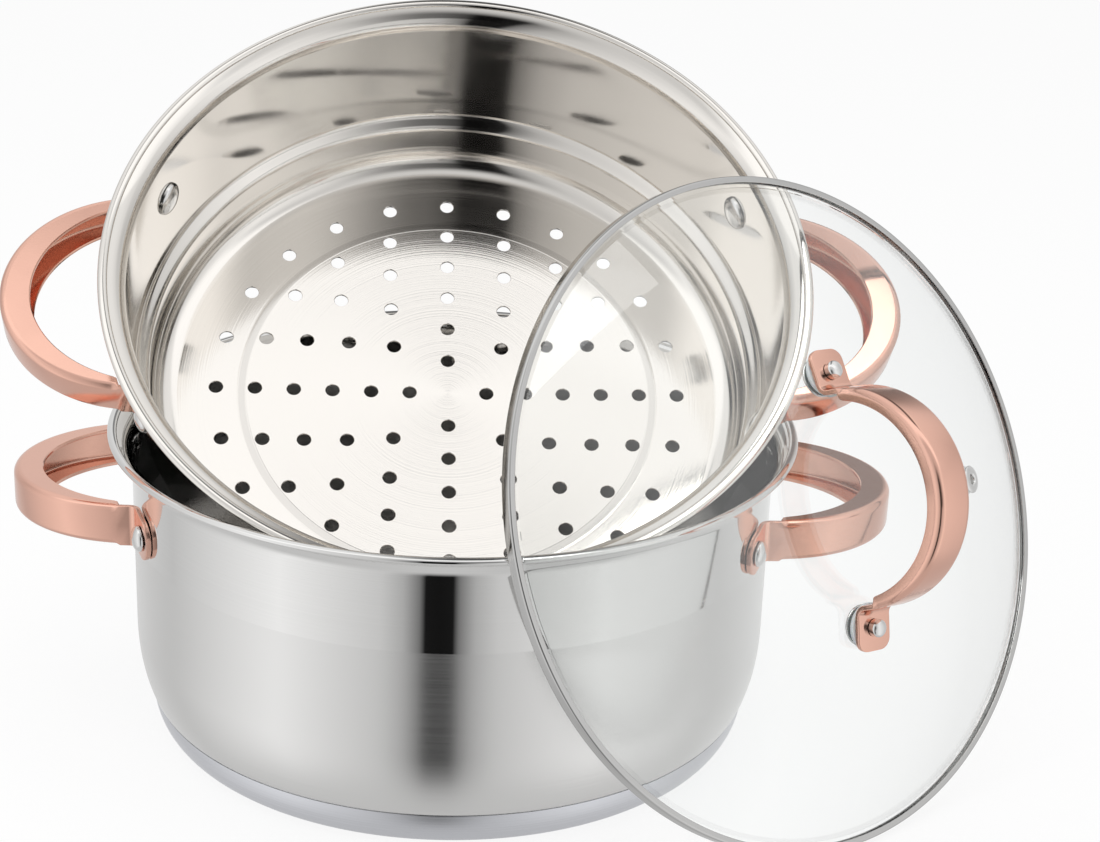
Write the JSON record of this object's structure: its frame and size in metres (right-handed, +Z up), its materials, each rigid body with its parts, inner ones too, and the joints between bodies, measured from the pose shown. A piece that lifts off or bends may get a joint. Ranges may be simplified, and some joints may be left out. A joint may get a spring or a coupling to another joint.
{
  "type": "steamer pot",
  "caption": "Steamer pot of brushed steel with a capped base, a perforated insert leaning in its mouth and a domed glass lid leaning on its side, with copper-coloured loop handles.",
  "frame": {"origin": "centre of the pot's flat base, on the surface it stands on", "axes": "+Z up along the pot's axis, X through the pot's two handles with the lid's side at +X, -Y to the front, where the insert leans and the lid faces"},
  "size_m": [0.3821, 0.2716, 0.255],
  "materials": {
    "pot_steel": "satin brushed wall under a mirror polished upper band",
    "base_core": "plain",
    "base_steel": "brushed",
    "insert_steel": "polished wall, brushed floor",
    "rivet_steel": "polished",
    "copper": "polished copper-coloured plate",
    "band_steel": "polished",
    "lid_glass": "clear tempered glass",
    "gasket": "matte translucent silicone"
  },
  "bodies": {
    "pot": {"pot_shell": "pot_steel", "pot_base_core": "base_core", "pot_base_cap": "base_steel", "pot_handle_right": "copper", "pot_handle_left": "copper", "pot_rivet_right_front": "rivet_steel", "pot_rivet_right_rear": "rivet_steel", "pot_rivet_left_front": "rivet_steel", "pot_rivet_left_rear": "rivet_steel"},
    "insert": {"insert_body": "insert_steel", "insert_handle_right": "copper", "insert_handle_left": "copper", "insert_rivet_right_front": "rivet_steel", "insert_rivet_right_rear": "rivet_steel", "insert_rivet_left_front": "rivet_steel", "insert_rivet_left_rear": "rivet_steel"},
    "lid": {"lid_glass": "lid_glass", "lid_band": "band_steel", "lid_handle": "copper", "lid_rivet_upper": "rivet_steel", "lid_rivet_lower": "rivet_steel", "lid_gasket_upper": "gasket", "lid_gasket_lower": "gasket", "lid_washer_upper": "rivet_steel", "lid_washer_lower": "rivet_steel", "lid_vent": "rivet_steel"}
  },
  "joints": [
    {"name": "insert_lift", "type": "slide", "parent": "pot", "child": "insert", "axis": [-0.2, 0.62, 0.7587], "range_m": [0, 0.13]},
    {"name": "lid_lift", "type": "slide", "parent": "pot", "child": "lid", "axis": [0, 0, 1], "range_m": [0, 0.15]}
  ]
}
